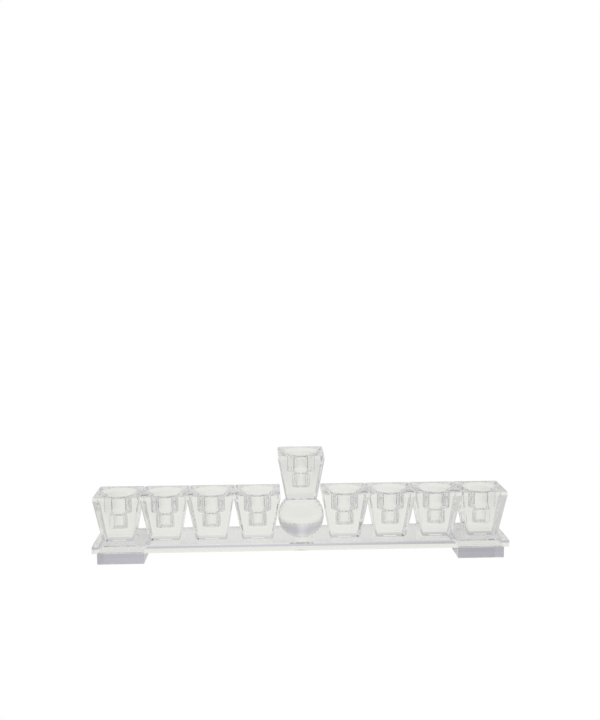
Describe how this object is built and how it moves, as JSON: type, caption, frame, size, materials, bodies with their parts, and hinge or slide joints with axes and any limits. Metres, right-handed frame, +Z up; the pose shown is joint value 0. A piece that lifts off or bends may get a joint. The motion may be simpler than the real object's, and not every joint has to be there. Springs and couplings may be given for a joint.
{
  "type": "menorah",
  "caption": "Long clear glass slab on block feet with a row of square tapered candle cups and a raised cup on a faceted ball in the middle.",
  "frame": {"origin": "on the supporting surface, under the middle of the slab, at the bottom centre of the whole object", "axes": "+X along the slab, to the viewer's right; +Y from front to back; +Z up"},
  "size_m": [0.3548, 0.05, 0.0901],
  "materials": {
    "slab_glass": "polished clear crystal, bevelled top edges",
    "foot_glass": "polished clear crystal blocks",
    "cup_glass": "polished clear crystal with ground bevels and a bored socket",
    "ball_glass": "machine-cut and polished small flat facets",
    "adhesive": "cured clear adhesive film"
  },
  "bodies": {
    "root": {"base_plate": "slab_glass", "foot_left": "foot_glass", "foot_right": "foot_glass", "crystal_ball": "ball_glass", "shamash_cup": "cup_glass", "cup_1": "cup_glass", "cup_2": "cup_glass", "cup_3": "cup_glass", "cup_4": "cup_glass", "cup_5": "cup_glass", "cup_6": "cup_glass", "cup_7": "cup_glass", "cup_8": "cup_glass", "bond_foot_left": "adhesive", "bond_foot_right": "adhesive", "bond_ball": "adhesive", "bond_shamash": "adhesive", "bond_cup_1": "adhesive", "bond_cup_2": "adhesive", "bond_cup_3": "adhesive", "bond_cup_4": "adhesive", "bond_cup_5": "adhesive", "bond_cup_6": "adhesive", "bond_cup_7": "adhesive", "bond_cup_8": "adhesive"}
  },
  "joints": []
}
